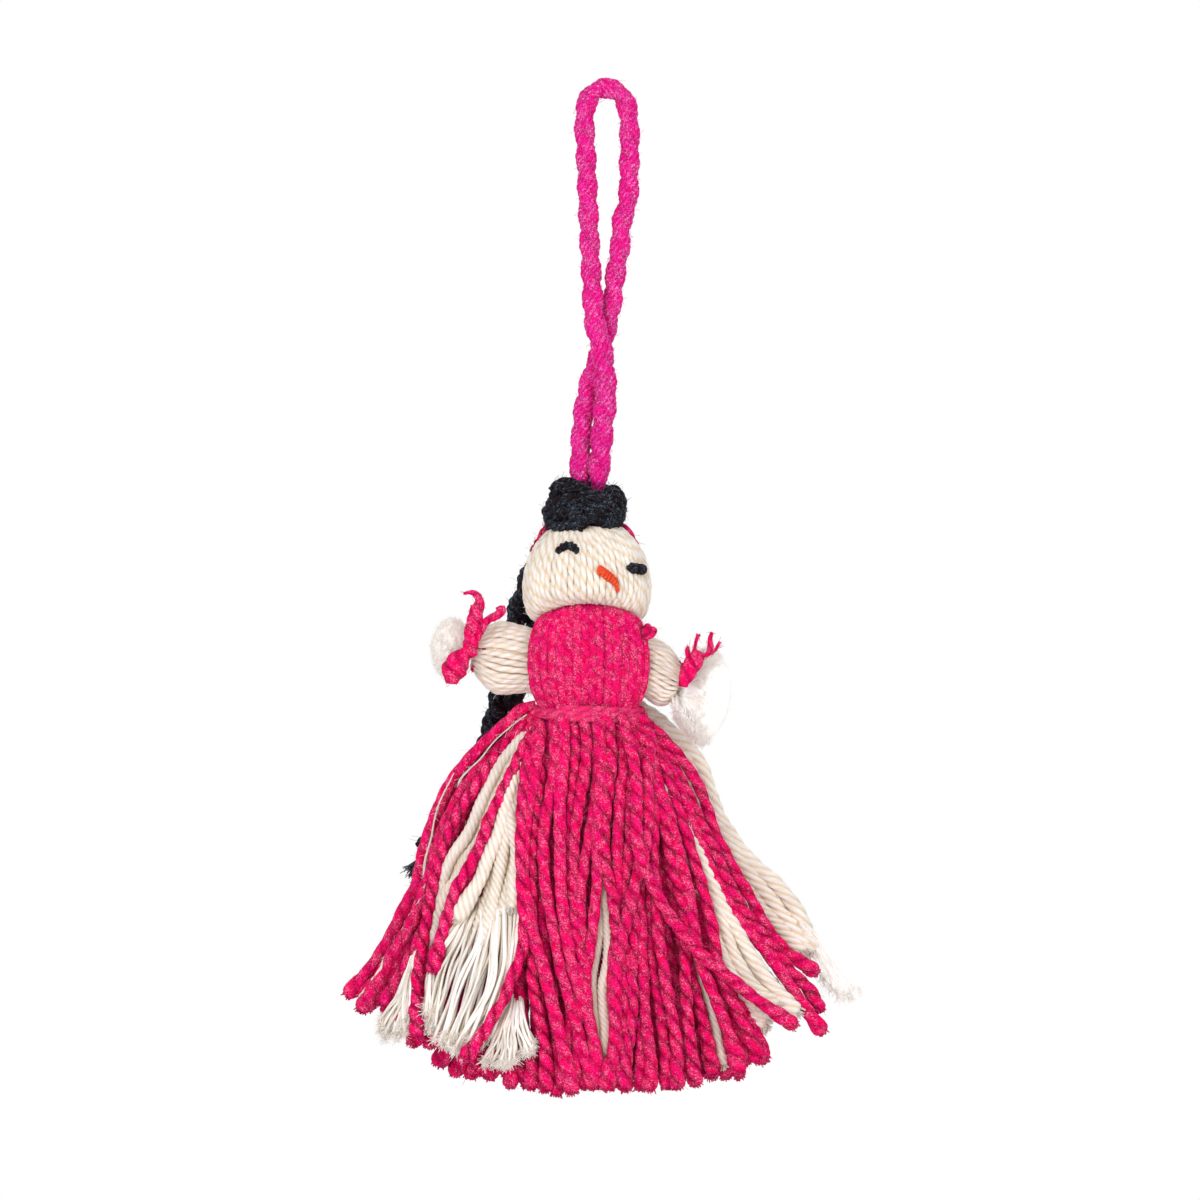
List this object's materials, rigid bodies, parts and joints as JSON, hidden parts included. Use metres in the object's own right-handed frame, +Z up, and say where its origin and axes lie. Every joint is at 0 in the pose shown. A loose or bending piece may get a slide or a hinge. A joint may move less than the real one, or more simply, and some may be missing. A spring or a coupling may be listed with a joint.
{
  "type": "yarn doll",
  "caption": "Tied-yarn doll with a plaited braid, bound arms and a flared strand skirt, hung from a twisted cord loop",
  "frame": {"origin": "inside top of the hanging loop, where it rests on a hook", "axes": "+Z up along the hanging cord, -Y out of the face, +X to the right as seen from the front"},
  "size_m": [0.1138, 0.0594, 0.2234],
  "materials": {
    "pink_yarn": "matt plied yarn, hot pink",
    "magenta_cord": "matt twisted cord, magenta pink",
    "cream_yarn": "matt plied yarn, cream",
    "black_yarn": "matt yarn, black",
    "red_thread": "matt thread, orange red"
  },
  "bodies": {
    "hanger": {"hanging_loop": "magenta_cord"},
    "head": {"head": "cream_yarn", "hair_bun": "black_yarn", "bun_curl": "black_yarn", "back_hair": "black_yarn", "headband": "magenta_cord", "eye_left": "black_yarn", "eye_right": "black_yarn", "mouth": "red_thread"},
    "braid": {"braid_strand_1": "black_yarn", "braid_strand_2": "black_yarn", "braid_strand_3": "black_yarn", "braid_end": "black_yarn"},
    "torso": {"torso_core": "cream_yarn", "bodice_front": "pink_yarn", "bodice_back": "pink_yarn", "neck_tie": "pink_yarn", "shoulder_knot": "pink_yarn", "waist_belt": "pink_yarn", "belt_knot": "pink_yarn", "skirt_right_1": "pink_yarn", "skirt_right_2": "pink_yarn", "skirt_right_3": "pink_yarn", "skirt_right_4": "pink_yarn", "skirt_front_1": "pink_yarn", "skirt_front_2": "pink_yarn", "skirt_front_3": "pink_yarn", "skirt_front_4": "pink_yarn", "skirt_front_5": "pink_yarn", "skirt_front_6": "pink_yarn", "skirt_front_7": "pink_yarn", "skirt_front_8": "pink_yarn", "skirt_left_1": "pink_yarn", "skirt_left_2": "pink_yarn", "skirt_left_3": "pink_yarn", "skirt_left_4": "pink_yarn", "skirt_back_1": "pink_yarn", "skirt_back_2": "pink_yarn", "skirt_back_3": "pink_yarn", "skirt_back_4": "pink_yarn", "skirt_back_5": "pink_yarn", "skirt_back_6": "pink_yarn", "skirt_back_7": "pink_yarn", "underskirt_back_1": "cream_yarn", "underskirt_back_2": "cream_yarn", "underskirt_right_1": "cream_yarn", "underskirt_right_2": "cream_yarn", "underskirt_front_1": "cream_yarn", "underskirt_left_1": "cream_yarn", "underskirt_left_2": "cream_yarn", "underskirt_left_3": "cream_yarn", "underskirt_left_4": "cream_yarn"},
    "arm_left": {"arm_left": "cream_yarn", "wrist_wrap_left": "magenta_cord", "wrist_knot_left": "magenta_cord", "hand_left": "cream_yarn"},
    "arm_right": {"arm_right": "cream_yarn", "wrist_wrap_right": "magenta_cord", "wrist_knot_right": "magenta_cord", "hand_right": "cream_yarn"}
  },
  "joints": [
    {"name": "crown_swing", "type": "hinge", "parent": "hanger", "child": "head", "pos_m": [-0.0038, 0, -0.084], "axis": [1, 0, 0], "range_deg": [-30, 30]},
    {"name": "neck_bend", "type": "hinge", "parent": "head", "child": "torso", "pos_m": [-0.0038, 0, -0.1122], "axis": [0, 1, 0], "range_deg": [-5, 5]},
    {"name": "braid_swing", "type": "hinge", "parent": "head", "child": "braid", "pos_m": [-0.01131, 0.01599, -0.0982], "axis": [1, 0, 0], "range_deg": [0, 50]},
    {"name": "shoulder_left", "type": "hinge", "parent": "torso", "child": "arm_left", "pos_m": [-0.0143, 0, -0.1241], "axis": [0, 1, 0], "range_deg": [-25, 12], "stiffness_Nm_per_rad": 0.004},
    {"name": "shoulder_right", "type": "hinge", "parent": "torso", "child": "arm_right", "pos_m": [0.0072, 0, -0.1231], "axis": [0, -1, 0], "range_deg": [-3, 35], "stiffness_Nm_per_rad": 0.004}
  ]
}
